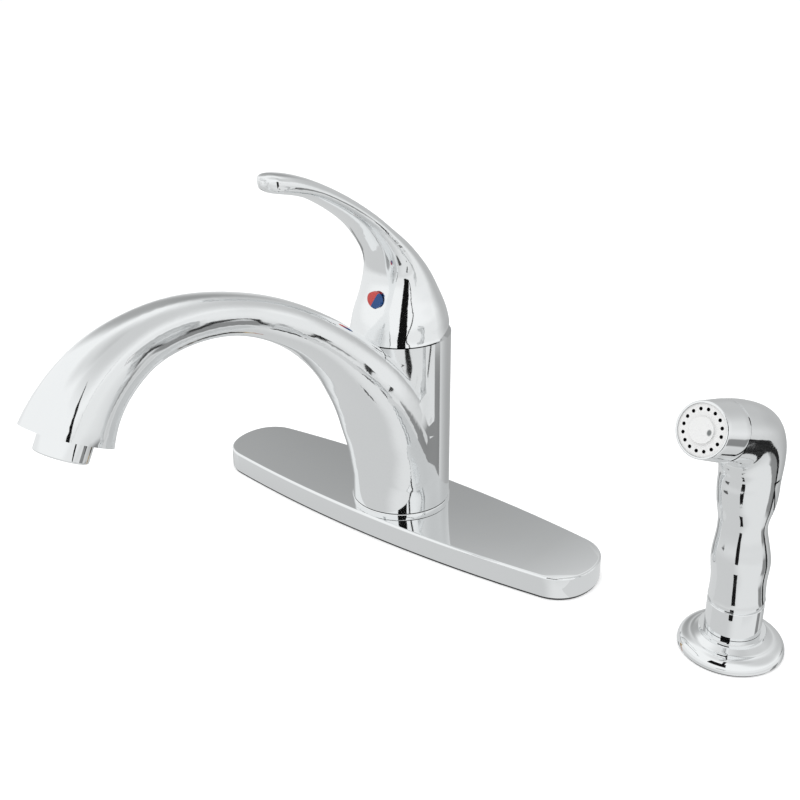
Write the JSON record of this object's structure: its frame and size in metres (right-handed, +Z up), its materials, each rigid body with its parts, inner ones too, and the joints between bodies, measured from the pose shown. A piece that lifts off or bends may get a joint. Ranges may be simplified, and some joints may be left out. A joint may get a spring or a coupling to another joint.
{
  "type": "side spray kitchen faucet",
  "caption": "Kitchen faucet with an arched swivel spout and a lever handle on a long deck plate, and a trigger side sprayer in its own deck holder.",
  "frame": {"origin": "on the deck plane, under the gasket, on the axis of the faucet's deck hole", "axes": "+X along the deck plate to the sprayer, -Y towards the user and the spout's outlet, +Z up"},
  "size_m": [0.3554, 0.2649, 0.3693],
  "materials": {
    "rubber": "moulded black rubber",
    "chrome": "bright polished plate",
    "brass": "machined",
    "white_plastic": "moulded white plastic",
    "ceramic": "ground ceramic",
    "steel": "plain steel",
    "copper": "drawn copper",
    "black_plastic": "moulded black plastic",
    "zinc_chrome": "bright polished plate on a casting",
    "index": "red and blue halves",
    "white_face": "moulded white plastic"
  },
  "bodies": {
    "deck": {"deck_gasket": "rubber", "deck_plate": "chrome", "base_ring": "chrome", "valve_body": "brass", "lower_seal": "rubber", "upper_seal": "rubber", "cartridge_shell": "white_plastic", "fixed_disc": "ceramic", "cartridge_nut": "brass", "bonnet": "chrome", "mounting_shank": "brass", "deck_seal_washer": "rubber", "deck_washer": "steel", "lock_nut": "brass", "hot_inlet": "copper", "cold_inlet": "copper", "spray_outlet": "copper", "spray_pad": "rubber", "spray_flange": "chrome", "spray_guide": "black_plastic", "guide_washer": "steel", "guide_nut": "black_plastic"},
    "spout": {"spout": "zinc_chrome", "aerator_housing": "chrome", "aerator_insert": "white_plastic", "aerator_washer": "rubber"},
    "diverter": {"diverter": "white_plastic"},
    "carrier": {"disc_carrier": "white_plastic", "pivot_pin": "steel"},
    "sliding_disc": {"sliding_disc": "ceramic"},
    "lever": {"cartridge_stem": "steel", "lever_handle": "zinc_chrome", "index_button": "index", "handle_screw": "steel"},
    "hose_end": {"hose_connector": "brass", "coupling_washer": "rubber"},
    "wand": {"wand_coupling": "chrome", "wand_handle": "zinc_chrome", "nozzle_ring": "chrome", "spray_face": "white_face", "trigger_pin": "steel", "plunger_gland": "brass", "plunger_spring": "steel"},
    "trigger": {"trigger": "zinc_chrome"},
    "plunger": {"spray_plunger": "brass"}
  },
  "joints": [
    {"name": "spout_swivel", "type": "hinge", "parent": "deck", "child": "spout", "pos_m": [0, 0, 0.06], "axis": [0, 0, 1], "range_deg": [-60, 60]},
    {"name": "lever_swing", "type": "hinge", "parent": "deck", "child": "carrier", "pos_m": [0, 0, 0.106], "axis": [0, 0, 1], "range_deg": [-45, 45]},
    {"name": "lever_tilt", "type": "hinge", "parent": "carrier", "child": "lever", "pos_m": [0, 0, 0.106], "axis": [-1, 0, 0], "range_deg": [0, 16]},
    {"name": "disc_slide", "type": "slide", "parent": "carrier", "child": "sliding_disc", "axis": [0, -1, 0], "range_m": [0, 0.0048]},
    {"name": "diverter_slide", "type": "slide", "parent": "deck", "child": "diverter", "axis": [0, 0, 1], "range_m": [0, 0.003]},
    {"name": "wand_lift", "type": "slide", "parent": "deck", "child": "hose_end", "axis": [0, 0, 1], "range_m": [0, 0.12]},
    {"name": "wand_turn", "type": "hinge", "parent": "hose_end", "child": "wand", "pos_m": [0.2032, 0, 0.02], "axis": [0, 0, 1], "continuous": true},
    {"name": "trigger_press", "type": "hinge", "parent": "wand", "child": "trigger", "pos_m": [0.20418, 0.00744, 0.1005], "axis": [-0.9914, 0.1305, 0], "range_deg": [0, 3], "stiffness_Nm_per_rad": 1},
    {"name": "plunger_slide", "type": "slide", "parent": "wand", "child": "plunger", "axis": [-0.1305, -0.9914, 0], "range_m": [0, 0.0009], "deforming": ["plunger_spring"]}
  ],
  "couplings": [
    {"joint": "disc_slide", "follows": "lever_tilt", "m_per_rad": 0.0168},
    {"joint": "plunger_slide", "follows": "trigger_press", "m_per_rad": 0.0165}
  ]
}
